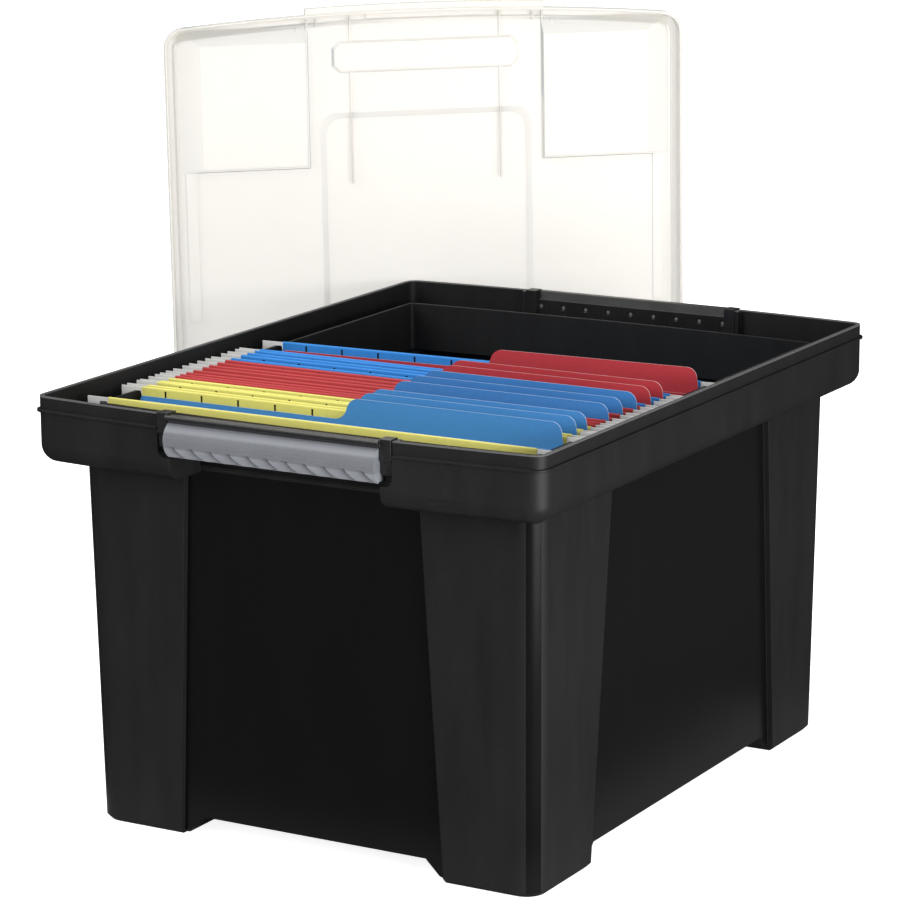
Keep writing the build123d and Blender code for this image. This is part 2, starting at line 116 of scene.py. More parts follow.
LANDING_HALF_WIDTH = 0.0680 # hollows near the lid's ends, and how far they lie from its middle
LANDING_RANGE = (0.186, 0.216)
LID_PANEL = (0.084, 0.168)  # the raised panel's reach from the lid's middle, across and along
RIB_PLACE = 0.054           # the long ribs' distance from the lid's middle line
LID_SKIRT = (0.176, 0.224)  # the skirt stands further than this from the lid's middle, across and along


def hem_places(name):
    """Along the tub: a hanging folder's front hem, and its back hem at the left and right ends."""
    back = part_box(f"rod_back_{name}")
    return (middle(f"rod_front_{name}", 1) - TUB_Y, back[0][1] + ROD_HALF - TUB_Y,
            back[1][1] - ROD_HALF - TUB_Y)


# ------------------------------------------------------------------ what a user would change
class BoxColours(bpy.types.PropertyGroup):
    """Colours of the box, its handles and its lid."""
    tub: bpy.props.FloatVectorProperty(
        name="Tub", description="Moulded tub and handle plastic", subtype="COLOR",
        size=3, min=0.0, max=1.0, default=(0.0060, 0.0060, 0.0062))
    grip: bpy.props.FloatVectorProperty(
        name="Grip", description="Soft grip on each handle", subtype="COLOR",
        size=3, min=0.0, max=1.0, default=(0.20, 0.21, 0.235))
    lid: bpy.props.FloatVectorProperty(
        name="Lid", description="Translucent lid", subtype="COLOR",
        size=3, min=0.0, max=1.0, default=(0.720, 0.686, 0.618))
    lid_density: bpy.props.FloatProperty(
        name="Lid density", description="How much the lid hides what is behind it", subtype="FACTOR",
        min=0.0, max=1.0, default=0.50)
    rod: bpy.props.FloatVectorProperty(
        name="Rods", description="Coated rods of the hanging folders", subtype="COLOR",
        size=3, min=0.0, max=1.0, default=(0.80, 0.80, 0.78))


class FolderColours(bpy.types.PropertyGroup):
    """Colours of the hanging folders and the file folders in them."""
    yellow: bpy.props.FloatVectorProperty(
        name="Yellow folders", description="Hanging folders at the front", subtype="COLOR",
        size=3, min=0.0, max=1.0, default=(0.75, 0.70, 0.18))
    red: bpy.props.FloatVectorProperty(
        name="Red folders", description="Hanging folders in the middle", subtype="COLOR",
        size=3, min=0.0, max=1.0, default=(0.50, 0.046, 0.050))
    blue: bpy.props.FloatVectorProperty(
        name="Blue folders", description="Hanging folders at the back", subtype="COLOR",
        size=3, min=0.0, max=1.0, default=(0.031, 0.24, 0.66))
    front_card: bpy.props.FloatVectorProperty(
        name="Front cards", description="File folders in the yellow hanging folders", subtype="COLOR",
        size=3, min=0.0, max=1.0, default=(0.057, 0.252, 0.61))
    middle_card: bpy.props.FloatVectorProperty(
        name="Middle cards", description="File folders in the red hanging folders", subtype="COLOR",
        size=3, min=0.0, max=1.0, default=(0.045, 0.22, 0.56))
    back_card: bpy.props.FloatVectorProperty(
        name="Back cards", description="File folders in the blue hanging folders", subtype="COLOR",
        size=3, min=0.0, max=1.0, default=(0.49, 0.036, 0.046))


class StudioSettings(bpy.types.PropertyGroup):
    """Floor, light and camera."""
    sky: bpy.props.FloatProperty(
        name="Sky", description="Strength of the even light on matt surfaces", min=0.0, default=0.85)
    sky_gloss: bpy.props.FloatProperty(
        name="Sky in gloss", description="How bright the surroundings look in glossy surfaces",
        min=0.0, default=0.10)
    top_power: bpy.props.FloatProperty(
        name="Top light", description="Power of the soft light overhead", unit="POWER",
        min=0.0, default=20.0)
    side_power: bpy.props.FloatProperty(
        name="Side light", description="Power of the soft light near the right corner", unit="POWER",
        min=0.0, default=19.0)
    front_power: bpy.props.FloatProperty(
        name="Front light", description="Power of the soft light at the front", unit="POWER",
        min=0.0, default=18.0)
    camera_place: bpy.props.FloatVectorProperty(
        name="Camera", description="Where the camera stands", subtype="TRANSLATION", unit="LENGTH",
        size=3, default=(TUB_X + 1.11052, TUB_Y - 1.95201, 0.73037))
    camera_turn: bpy.props.FloatProperty(
        name="Turn", description="Camera's turn to the left of the box's length", subtype="ANGLE",
        default=radians(29.947))
    camera_dip: bpy.props.FloatProperty(
        name="Dip", description="Camera's angle below level", subtype="ANGLE",
        default=radians(12.895))
    camera_roll: bpy.props.FloatProperty(
        name="Roll", description="Camera's roll", subtype="ANGLE", default=radians(-0.373))
    camera_lens: bpy.props.FloatProperty(
        name="Lens", description="Focal length on a 36 mm sensor", subtype="DISTANCE_CAMERA",
        default=142.807)


# ------------------------------------------------------------------ meshes
def finish_piece(name, bm, finishes, body, stands_for=(), smooth=None):
    """Turn a bmesh into an object of the file box, with its materials and body."""
    mesh = bpy.data.meshes.new(name)
    bm.to_mesh(mesh)
    bm.free()
    for finish in finishes:
        mesh.materials.append(finish)
    if smooth is not None:
        mesh.shade_smooth()
        mesh.set_sharp_from_angle(angle=smooth)
    piece = bpy.data.objects.new(name, mesh)
    bpy.context.scene.collection.objects.link(piece)
    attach(piece, body)
    if stands_for:
        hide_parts(*stands_for)
    return piece


def chain(bm, points):
    """Vertices and edges through a few (y, z) points, at x = 0."""
    verts = [bm.verts.new((0.0, y, z)) for y, z in points]
    return verts, [bm.edges.new(pair) for pair in zip(verts, verts[1:])]


def drag(bm, edges, vector):
    """Extrude edges by a vector and return the new edges."""
    made = bmesh.ops.extrude_edge_only(bm, edges=edges)["geom"]
    bmesh.ops.translate(bm, vec=vector, verts=[v for v in made if isinstance(v, bmesh.types.BMVert)])
    return [e for e in made if isinstance(e, bmesh.types.BMEdge)]


# ------------------------------------------------------------------ shader groups
def new_group(name, inputs, outputs):
    group = bpy.data.node_groups.new(name, "ShaderNodeTree")
    for label, kind, value in inputs:
        socket = group.interface.new_socket(label, in_out="INPUT", socket_type=kind)
        if value is not None:
            socket.default_value = value
    for label, kind in outputs:
        group.interface.new_socket(label, in_out="OUTPUT", socket_type=kind)
    return group, group.nodes.new("NodeGroupInput"), group.nodes.new("NodeGroupOutput")


def link(tree, source, target):
    tree.links.new(source, target)


def math_node(tree, operation, first, second=None, third=None, clamp=False):
    node = tree.nodes.new("ShaderNodeMath")
    node.operation = operation
    node.use_clamp = clamp
    for socket, value in zip(node.inputs, (first, second, third)):
        if value is None:
            continue
        if isinstance(value, (int, float)):
            socket.default_value = value
        else:
            link(tree, value, socket)
    return node.outputs[0]


def noise_node(tree, vector, scale, detail, rough=0.5):
    node = tree.nodes.new("ShaderNodeTexNoise")
    node.inputs["Detail"].default_value = detail
    node.inputs["Roughness"].default_value = rough
    if isinstance(scale, (int, float)):
        node.inputs["Scale"].default_value = scale
    else:
        link(tree, scale, node.inputs["Scale"])
    link(tree, vector, node.inputs["Vector"])
    return node.outputs["Fac"]


def mix_colour(tree, factor, first, second):
    node = tree.nodes.new("ShaderNodeMix")
    node.data_type = "RGBA"
    for socket, value in ((node.inputs[0], factor), (node.inputs[6], first), (node.inputs[7], second)):
        if isinstance(value, (int, float)):
            socket.default_value = value
        elif isinstance(value, (tuple, list)):
            socket.default_value = tuple(value) + (1.0,)
        else:
            link(tree, value, socket)
    return node.outputs[2]


def grain_group():
    """Fine moulded texture: a height, a light and dark mottle, and upright streaks."""
    group, start, end = new_group(
        "Moulded grain",
        [("Vector", "NodeSocketVector", None), ("Grain Scale", "NodeSocketFloat", 900.0),
         ("Cloud Scale", "NodeSocketFloat", 14.0)],
        [("Height", "NodeSocketFloat"), ("Cloud", "NodeSocketFloat"), ("Streak", "NodeSocketFloat")])
    link(group, noise_node(group, start.outputs[0], start.outputs[1], 2.0, 0.6), end.inputs[0])
    link(group, noise_node(group, start.outputs[0], start.outputs[2], 3.0), end.inputs[1])
    stretch = group.nodes.new("ShaderNodeMapping")
    stretch.inputs["Scale"].default_value = (4.0, 4.0, 0.8)
    link(group, start.outputs[0], stretch.inputs[0])
    streaks = noise_node(group, stretch.outputs[0], start.outputs[2], 4.0, 0.6)
    ramp = group.nodes.new("ShaderNodeMapRange")
    ramp.inputs["From Min"].default_value = 0.3
    ramp.inputs["From Max"].default_value = 0.7
    link(group, streaks, ramp.inputs["Value"])
    link(group, ramp.outputs[0], end.inputs[2])
    return group


def fibre_group():
    """Paper fibre: a fine speckle, a slow blotch and a height."""
    group, start, end = new_group(
        "Paper fibre",
        [("Vector", "NodeSocketVector", None), ("Fibre Scale", "NodeSocketFloat", 700.0),
         ("Blotch Scale", "NodeSocketFloat", 9.0)],
        [("Speckle", "NodeSocketFloat"), ("Blotch", "NodeSocketFloat"), ("Height", "NodeSocketFloat")])
    stretch = group.nodes.new("ShaderNodeMapping")
    stretch.inputs["Scale"].default_value = (0.35, 1.0, 1.0)
    link(group, start.outputs[0], stretch.inputs[0])
    fine = noise_node(group, stretch.outputs[0], start.outputs[1], 4.0, 0.65)
    ramp = group.nodes.new("ShaderNodeMapRange")
    ramp.inputs["From Min"].default_value = 0.32
    ramp.inputs["From Max"].default_value = 0.68
    link(group, fine, ramp.inputs["Value"])
    link(group, ramp.outputs[0], end.inputs[0])
    link(group, noise_node(group, start.outputs[0], start.outputs[2], 2.0), end.inputs[1])
    link(group, fine, end.inputs[2])
    return group


def shared_group(name, maker):
    return bpy.data.node_groups.get(name) or maker()


def start_material(name):
    finish = bpy.data.materials.new(name)
    finish.use_nodes = True
    tree = finish.node_tree
    shader = tree.nodes["Principled BSDF"]
    place = tree.nodes.new("ShaderNodeTexCoord").outputs["Object"]
    return finish, tree, shader, place


def use_group(tree, group, place, **values):
    node = tree.nodes.new("ShaderNodeGroup")
    node.node_tree = group
    link(tree, place, node.inputs["Vector"])
    for label, value in values.items():
        node.inputs[label.replace("_", " ")].default_value = value
    return node


def bump(tree, shader, height, strength, distance, rounding=0.0):
    """Raise a surface by a height, and round its edges where rounding gives a radius."""
    node = tree.nodes.new("ShaderNodeBump")
    if rounding:
        soft = tree.nodes.new("ShaderNodeBevel")
        soft.samples = 6
        soft.inputs["Radius"].default_value = rounding
        link(tree, soft.outputs["Normal"], node.inputs["Normal"])
    node.inputs["Strength"].default_value = strength
    node.inputs["Distance"].default_value = distance
    link(tree, height, node.inputs["Height"])
    link(tree, node.outputs["Normal"], shader.inputs["Normal"])


def lighter(colour, gain):
    return tuple(min(1.0, c * gain) for c in colour)


def panel_mask(tree, place):
    """1 on the smooth outer panels, 0 on the grained pillars, feet, collar and inside."""
    split = tree.nodes.new("ShaderNodeSeparateXYZ")
    link(tree, place, split.inputs[0])
    x = math_node(tree, "ABSOLUTE", math_node(tree, "SUBTRACT", split.outputs[0], TUB_X))
    y = math_node(tree, "ABSOLUTE", math_node(tree, "SUBTRACT", split.outputs[1], TUB_Y))
    z = split.outputs[2]
    wall_x = math_node(tree, "MULTIPLY_ADD", z, sin(SIDE_DRAFT), BODY_HALF_X - PANEL_TONGUE)
    wall_y = math_node(tree, "MULTIPLY_ADD", z, sin(END_DRAFT), BODY_HALF_Y - PANEL_TONGUE)
    inside_x = math_node(tree, "LESS_THAN", x, wall_x)
    inside_y = math_node(tree, "LESS_THAN", y, wall_y)
    both = math_node(tree, "MULTIPLY", inside_x, inside_y)
    low = math_node(tree, "LESS_THAN", z, COLLAR_FLOOR + 0.001)
    outwards = tree.nodes.new("ShaderNodeVectorMath")
    outwards.operation = "DOT_PRODUCT"
    link(tree, tree.nodes.new("ShaderNodeNewGeometry").outputs["True Normal"], outwards.inputs[0])
    from_middle = tree.nodes.new("ShaderNodeVectorMath")
    from_middle.operation = "SUBTRACT"
    link(tree, place, from_middle.inputs[0])
    from_middle.inputs[1].default_value = (TUB_X, TUB_Y, COLLAR_FLOOR / 2)
    link(tree, from_middle.outputs[0], outwards.inputs[1])
    outside = math_node(tree, "GREATER_THAN", outwards.outputs["Value"], 0.0)
    return math_node(tree, "MULTIPLY", both, math_node(tree, "MULTIPLY", low, outside))


def tub_finish():
    """Black moulded plastic: grained pillars and collar, smooth panels and inside. The parts off the outer
    panels are painted lighter, partly their own grained tone and partly painted sheen, and the rim's top edge
    carries a painted highlight.
    """
    colours = bpy.context.scene.file_box_colours
    finish, tree, shader, place = start_material("Tub plastic")
    grain = use_group(tree, shared_group("Moulded grain", grain_group), place, Grain_Scale=1300.0)
    smooth = panel_mask(tree, place)
    # grained parts lighter than the smooth panels: partly the grain's own greyer tone, partly painted sheen
    base = mix_colour(tree, smooth, lighter(colours.tub, 1.45), lighter(colours.tub, 0.55))
    streaky = math_node(tree, "MULTIPLY", grain.outputs["Streak"],
                        math_node(tree, "MULTIPLY_ADD", smooth, -0.36, 0.40))
    moulded = mix_colour(tree, streaky, base, lighter(colours.tub, 3.0))
    split = tree.nodes.new("ShaderNodeSeparateXYZ")
    link(tree, place, split.inputs[0])
    # painted highlight: the rim's top edge is made pale in the colour, as if lit
    rim_highlight = math_node(tree, "GREATER_THAN", split.outputs[2], RIM_TOP - RIM_PAINTED_HIGHLIGHT)
    link(tree, mix_colour(tree, rim_highlight, moulded, lighter(colours.tub, 16.0)), shader.inputs["Base Color"])
    rough = math_node(tree, "MULTIPLY_ADD", smooth, -0.27, 0.43)
    link(tree, math_node(tree, "MULTIPLY_ADD", grain.outputs["Cloud"], 0.15, rough),
         shader.inputs["Roughness"])
    shader.inputs["Specular IOR Level"].default_value = 0.30
    height = math_node(tree, "MULTIPLY", grain.outputs["Height"],
                       math_node(tree, "MULTIPLY_ADD", smooth, -0.85, 1.0))
    bump(tree, shader, height, 0.5, 0.00025, rounding=0.0008)
    return finish


def dimple_glint_mask(tree, place):
    """Where a painted glint lies: 1 in the middle of each dimple along the back of a handle's plate."""
    split = tree.nodes.new("ShaderNodeSeparateXYZ")
    link(tree, place, split.inputs[0])
    x = math_node(tree, "SUBTRACT", split.outputs[0], TUB_X)
    y = math_node(tree, "ABSOLUTE", math_node(tree, "SUBTRACT", split.outputs[1], TUB_Y))
    along = math_node(tree, "PINGPONG", x, DIMPLE_PITCH / 2)
    above = math_node(tree, "SUBTRACT", split.outputs[2], DIMPLE_HEIGHT)
    away = math_node(tree, "SQRT", math_node(tree, "ADD", math_node(tree, "MULTIPLY", along, along),
                                             math_node(tree, "MULTIPLY", above, above)))
    glint = tree.nodes.new("ShaderNodeMapRange")
    glint.inputs["From Min"].default_value = 0.0016
    glint.inputs["From Max"].default_value = 0.0007
    link(tree, away, glint.inputs["Value"])
    row = math_node(tree, "LESS_THAN", math_node(tree, "ABSOLUTE", x), DIMPLE_PITCH * 4.5)
    back = math_node(tree, "LESS_THAN", y, PLATE_BACK + DIMPLE_DEPTH + 0.0001)
    return math_node(tree, "MULTIPLY", glint.outputs[0], math_node(tree, "MULTIPLY", row, back))


def handle_finish():
    """Black glossy plastic of the handle frames, with a painted glint in each dimple."""
    colours = bpy.context.scene.file_box_colours
    finish, tree, shader, place = start_material("Handle plastic")
    grain = use_group(tree, shared_group("Moulded grain", grain_group), place, Cloud_Scale=40.0)
    gloss = mix_colour(tree, grain.outputs["Cloud"], lighter(colours.tub, 1.6), lighter(colours.tub, 3.0))
    # painted glint: the middle of each dimple is made much lighter, as if catching the light
    link(tree, mix_colour(tree, dimple_glint_mask(tree, place), gloss, lighter(colours.tub, 36.0)),
         shader.inputs["Base Color"])
    link(tree, math_node(tree, "MULTIPLY_ADD", grain.outputs["Cloud"], 0.12, 0.20),
         shader.inputs["Roughness"])
    bump(tree, shader, grain.outputs["Height"], 0.15, 0.00015, rounding=0.0006)
    return finish


def grip_finish():
    """Grey soft rubber with a faint bloom, and painted shade where its relief is sunk."""
    colours = bpy.context.scene.file_box_colours
    finish, tree, shader, place = start_material("Grip rubber")
    grain = use_group(tree, shared_group("Moulded grain", grain_group), place, Cloud_Scale=60.0)
    rubber = mix_colour(tree, grain.outputs["Cloud"], lighter(colours.grip, 0.9), lighter(colours.grip, 1.15))
    sunk = tree.nodes.new("ShaderNodeAttribute")
    sunk.attribute_name = "relief"
    # painted shade: the colour darkens where the relief is sunk
    link(tree, mix_colour(tree, math_node(tree, "MULTIPLY", sunk.outputs["Fac"], 1.1, clamp=True), rubber,
                          lighter(colours.grip, 0.30)), shader.inputs["Base Color"])
    shader.inputs["Sheen Weight"].default_value = 0.15
    link(tree, math_node(tree, "MULTIPLY_ADD", grain.outputs["Cloud"], 0.10, 0.42),
         shader.inputs["Roughness"])
    bump(tree, shader, grain.outputs["Height"], 0.2, 0.0002)
    return finish


def lid_fade(tree, place):
    """How strongly a wall's painted shade shows: faint at the rim and over the hollows for the handles, full
    elsewhere.
    """
    split = tree.nodes.new("ShaderNodeSeparateXYZ")
    link(tree, place, split.inputs[0])
    east = math_node(tree, "SUBTRACT", split.outputs[0], middle("lid", 0))
    north = math_node(tree, "SUBTRACT", split.outputs[1], middle("lid", 1))
    sideways = math_node(tree, "MULTIPLY_ADD", north, sin(LID_TURN),
                         math_node(tree, "MULTIPLY", east, cos(LID_TURN)))
    sideways = math_node(tree, "ABSOLUTE", sideways)
    upwards = math_node(tree, "ABSOLUTE", math_node(tree, "SUBTRACT", split.outputs[2], middle("lid", 2)))
    near = math_node(tree, "LESS_THAN", sideways, LANDING_HALF_WIDTH)
    low, high = LANDING_RANGE
    band = math_node(tree, "COMPARE", upwards, (low + high) / 2, (high - low) / 2)
    landing = math_node(tree, "MULTIPLY", near, band)
    side = math_node(tree, "GREATER_THAN", sideways, LID_SKIRT[0])
    skirt = math_node(tree, "MAXIMUM", side, math_node(tree, "GREATER_THAN", upwards, LID_SKIRT[1]))
    panel = math_node(tree, "MULTIPLY", math_node(tree, "LESS_THAN", sideways, LID_PANEL[0]),
                      math_node(tree, "LESS_THAN", upwards, LID_PANEL[1]))
    ribs = math_node(tree, "COMPARE", sideways, RIB_PLACE, 0.0022)
    slopes = math_node(tree, "MULTIPLY", panel, math_node(tree, "SUBTRACT", 1.0, ribs))
    faint = math_node(tree, "MAXIMUM", math_node(tree, "MULTIPLY", landing, 0.85),
                      math_node(tree, "MULTIPLY", skirt, 0.72))
    faint = math_node(tree, "MAXIMUM", faint, math_node(tree, "MULTIPLY", slopes, 0.55))
    return math_node(tree, "SUBTRACT", 1.0, faint)


def lid_finish():
    """Milky translucent plastic, with painted shade that makes the walls standing across the lid greyer and
    denser.
    """
    colours = bpy.context.scene.file_box_colours
    finish, tree, shader, place = start_material("Lid plastic")
    grain = use_group(tree, shared_group("Moulded grain", grain_group), place,
                      Grain_Scale=420.0, Cloud_Scale=7.0)
    across = tree.nodes.new("ShaderNodeVectorMath")
    across.operation = "CROSS_PRODUCT"
    link(tree, tree.nodes.new("ShaderNodeNewGeometry").outputs["True Normal"], across.inputs[0])
    across.inputs[1].default_value = (sin(LID_TURN), -cos(LID_TURN), 0.0)
    length = tree.nodes.new("ShaderNodeVectorMath")
    length.operation = "LENGTH"
    link(tree, across.outputs[0], length.inputs[0])
    steep = tree.nodes.new("ShaderNodeMapRange")
    steep.inputs["From Min"].default_value = 0.12
    steep.inputs["From Max"].default_value = 0.80
    link(tree, length.outputs["Value"], steep.inputs["Value"])
    # painted shade on the steep walls: greyer colour and denser alpha
    wall = math_node(tree, "MULTIPLY", steep.outputs[0], lid_fade(tree, place))
    milk = mix_colour(tree, grain.outputs["Cloud"], tuple(colours.lid), lighter(colours.lid, 1.04))
    link(tree, mix_colour(tree, wall, milk, (0.50, 0.53, 0.53)),
         shader.inputs["Base Color"])
    edge = tree.nodes.new("ShaderNodeLayerWeight")
    edge.inputs["Blend"].default_value = 0.30
    dense = math_node(tree, "MULTIPLY_ADD", edge.outputs["Facing"], 0.15, colours.lid_density)
    link(tree, math_node(tree, "MULTIPLY_ADD", wall, 0.20, dense, clamp=True), shader.inputs["Alpha"])
    link(tree, math_node(tree, "MULTIPLY_ADD", grain.outputs["Cloud"], 0.10, 0.26),
         shader.inputs["Roughness"])
    shader.inputs["Specular IOR Level"].default_value = 0.15
    bump(tree, shader, grain.outputs["Height"], 0.12, 0.0003)
    return finish


def paper_finish(name, colour, rough=0.62, fade=1.35):
    """Coloured card with fibres, a slow fade and a faint tooth."""
    finish, tree, shader, place = start_material(name)
    fibre = use_group(tree, shared_group("Paper fibre", fibre_group), place)
    blotch = math_node(tree, "MULTIPLY", fibre.outputs["Blotch"], 0.35)
    worn = mix_colour(tree, blotch, tuple(colour), lighter(colour, fade))
    speck = math_node(tree, "MULTIPLY", fibre.outputs["Speckle"], 0.16)
    link(tree, mix_colour(tree, speck, worn, lighter(colour, 0.55)), shader.inputs["Base Color"])
    link(tree, math_node(tree, "MULTIPLY_ADD", fibre.outputs["Blotch"], 0.10, rough),
         shader.inputs["Roughness"])
    shader.inputs["Specular IOR Level"].default_value = 0.35
    bump(tree, shader, fibre.outputs["Height"], 0.25, 0.0001)
    return finish


def edge_finish(name, colour):
    """Cut edge of card, paler than its face."""
    pale = tuple(0.45 * c + 0.42 for c in colour)
    return paper_finish(name, pale, rough=0.75, fade=1.1)


def rod_finish():
    """White coated steel with faint rubs."""
    colours = bpy.context.scene.file_box_colours
    finish, tree, shader, place = start_material("Rod coating")
    grain = use_group(tree, shared_group("Moulded grain", grain_group), place, Cloud_Scale=120.0)
    link(tree, mix_colour(tree, grain.outputs["Cloud"], tuple(colours.rod), lighter(colours.rod, 0.86)),
         shader.inputs["Base Color"])
    link(tree, math_node(tree, "MULTIPLY_ADD", grain.outputs["Cloud"], 0.2, 0.25),
         shader.inputs["Roughness"])
    bump(tree, shader, grain.outputs["Height"], 0.1, 0.0001)
    return finish


def dress_node(node, finish):
    """Give a CAD node its finish."""
    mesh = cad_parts[node].data
    mesh.materials.clear()
    mesh.materials.append(finish)


# ------------------------------------------------------------------ operators
class FILEBOX_OT_tub(bpy.types.Operator):
    """Finish the tub"""
    bl_idname = "filebox.tub"
    bl_label = "Tub"

    def execute(self, context):
        dress_node("tub", tub_finish())
        return {"FINISHED"}


GRIP_HALF = 0.07315
GRIP_BACK = END_FACE - 0.00405
GRIP_OUTLINE = ((0.0, 252.2), (-0.4, 251.6), (0.1, 251.4), (1.9, 252.9), (3.6, 254.9), (4.9, 257.2),
                (5.7, 259.6), (6.0, 262.0), (5.8, 264.4), (5.1, 266.6), (3.9, 268.3),
                (2.4, 269.8), (1.0, 271.2), (-0.2, 272.0), (-0.6, 272.1))
GRIP_COLUMNS = 440
GRIP_ROWS = 12              # rows between two outline points
MESH_PITCH = 0.00165
MESH_DEPTH = 0.00035
FLUTE_PITCH = 0.0132
FLUTE_DEPTH = 0.0014
FLUTE_LEAN = 0.62
FLUTE_TOP = 0.2592
MESH_LOW = 0.2575
MESH_HIGH = 0.2680


def grip_relief(x, z):
    """How far the grip's surface is sunk at a place: by its fine square mesh, and by its slanted flutes."""
    mesh_part = flute_part = 0.0
    if MESH_LOW < z < MESH_HIGH:
        ease = min(1.0, (z - MESH_LOW) / 0.001, (MESH_HIGH - z) / 0.001)
        waves = cos(2 * pi * x / MESH_PITCH) * cos(2 * pi * z / MESH_PITCH)
        mesh_part = MESH_DEPTH * ease * (0.5 + 0.5 * waves)
    if z < FLUTE_TOP:
        ease = min(1.0, (FLUTE_TOP - z) / 0.0015)
        phase = ((x + FLUTE_LEAN * (FLUTE_TOP - z) ** 1.25 / 0.004 ** 0.25) / FLUTE_PITCH) % 1.0
        flute_part = FLUTE_DEPTH * ease * (1.0 - phase) ** 3
    return mesh_part, flute_part


class FILEBOX_OT_handles(bpy.types.Operator):
    """Finish the handle frames and make their soft grips"""
    bl_idname = "filebox.handles"
    bl_label = "Handles"

    def execute(self, context):
        plastic = handle_finish()
        rubber = grip_finish()
        for end, turn in (("rear", 0.0), ("front", pi)):
            dress_node(f"{end}_handle_frame", plastic)
            bm = bmesh.new()
            rows = (len(GRIP_OUTLINE) - 1) * GRIP_ROWS
            bmesh.ops.create_grid(bm, x_segments=GRIP_COLUMNS, y_segments=rows, size=0.5)
            relief = bm.verts.layers.float.new("relief")
            for v in bm.verts:
                step = min((v.co.y + 0.5) * rows / GRIP_ROWS, len(GRIP_OUTLINE) - 1 - 1e-6)
                i = int(step)
                share = step - i
                (y0, z0), (y1, z1) = GRIP_OUTLINE[i], GRIP_OUTLINE[i + 1]
                y = (y0 + (y1 - y0) * share) * MM
                z = (z0 + (z1 - z0) * share) * MM
                x = v.co.x * 2 * GRIP_HALF
                out = Vector((0.0, y1 - y0, z1 - z0)).normalized()
                out = Vector((0.0, out.z, -out.y))
                mesh_part, flute_part = grip_relief(x, z) if y > 0.0 else (0.0, 0.0)
                sunk = mesh_part + flute_part
                # the relief's depth, which the grip's finish turns into painted shade
                v[relief] = 0.8 * mesh_part / MESH_DEPTH + flute_part / FLUTE_DEPTH
                v.co = Vector((x, END_FACE + y, z)) - out * sunk
            rim = [e for e in bm.edges if e.is_boundary]
            made = bmesh.ops.extrude_edge_only(bm, edges=rim)["geom"]
            back = [v for v in made if isinstance(v, bmesh.types.BMVert)]
            for v in back:
                v.co.y = GRIP_BACK
            bmesh.ops.holes_fill(bm, edges=[e for e in bm.edges if e.is_boundary], sides=0)
            bmesh.ops.recalc_face_normals(bm, faces=bm.faces)
            bmesh.ops.rotate(bm, cent=(0, 0, 0), matrix=Matrix.Rotation(turn, 3, "Z"), verts=bm.verts)
            bmesh.ops.translate(bm, vec=(TUB_X, TUB_Y, 0.0), verts=bm.verts)
            finish_piece(f"{end}_grip", bm, [rubber], f"{end}_handle",
                         [f"{end}_handle_grip"], smooth=radians(50))
        return {"FINISHED"}


class FILEBOX_OT_lid(bpy.types.Operator):
    """Finish the lid"""
    bl_idname = "filebox.lid"
    bl_label = "Lid"

    def execute(self, context):
        dress_node("lid", lid_finish())
        return {"FINISHED"}


def hem_path(side):
    """(y, z) points from the leaf round a rod and down again; side is the leaf's side of the rod."""
    low = HEM_TOP - HEM_HEIGHT
    top = HEM_TOP - PAPER / 2 - HEM_HALF
    points = [(0.0, low - 0.0005), (side * HEM_HALF, low + 0.0028)]
    for k in range(7):
        angle = pi * k / 6
        points.append((side * HEM_HALF * cos(angle), top + HEM_HALF * sin(angle)))
    points += [(-side * HEM_HALF, low + 0.0028), (-side * HEM_HALF * 0.75, low)]
    return points


def skew_matrix(left, right):
    """Turn and shift of a piece drawn at y = 0 whose rod ends stand at left and right."""
    from_left = (right - left) / ROD_LENGTH
    return Matrix.Translation((0.0, (left + right) / 2, 0.0)) @ Matrix.Rotation(
        Vector((1.0, from_left)).angle_signed(Vector((1.0, 0.0))), 4, "Z")


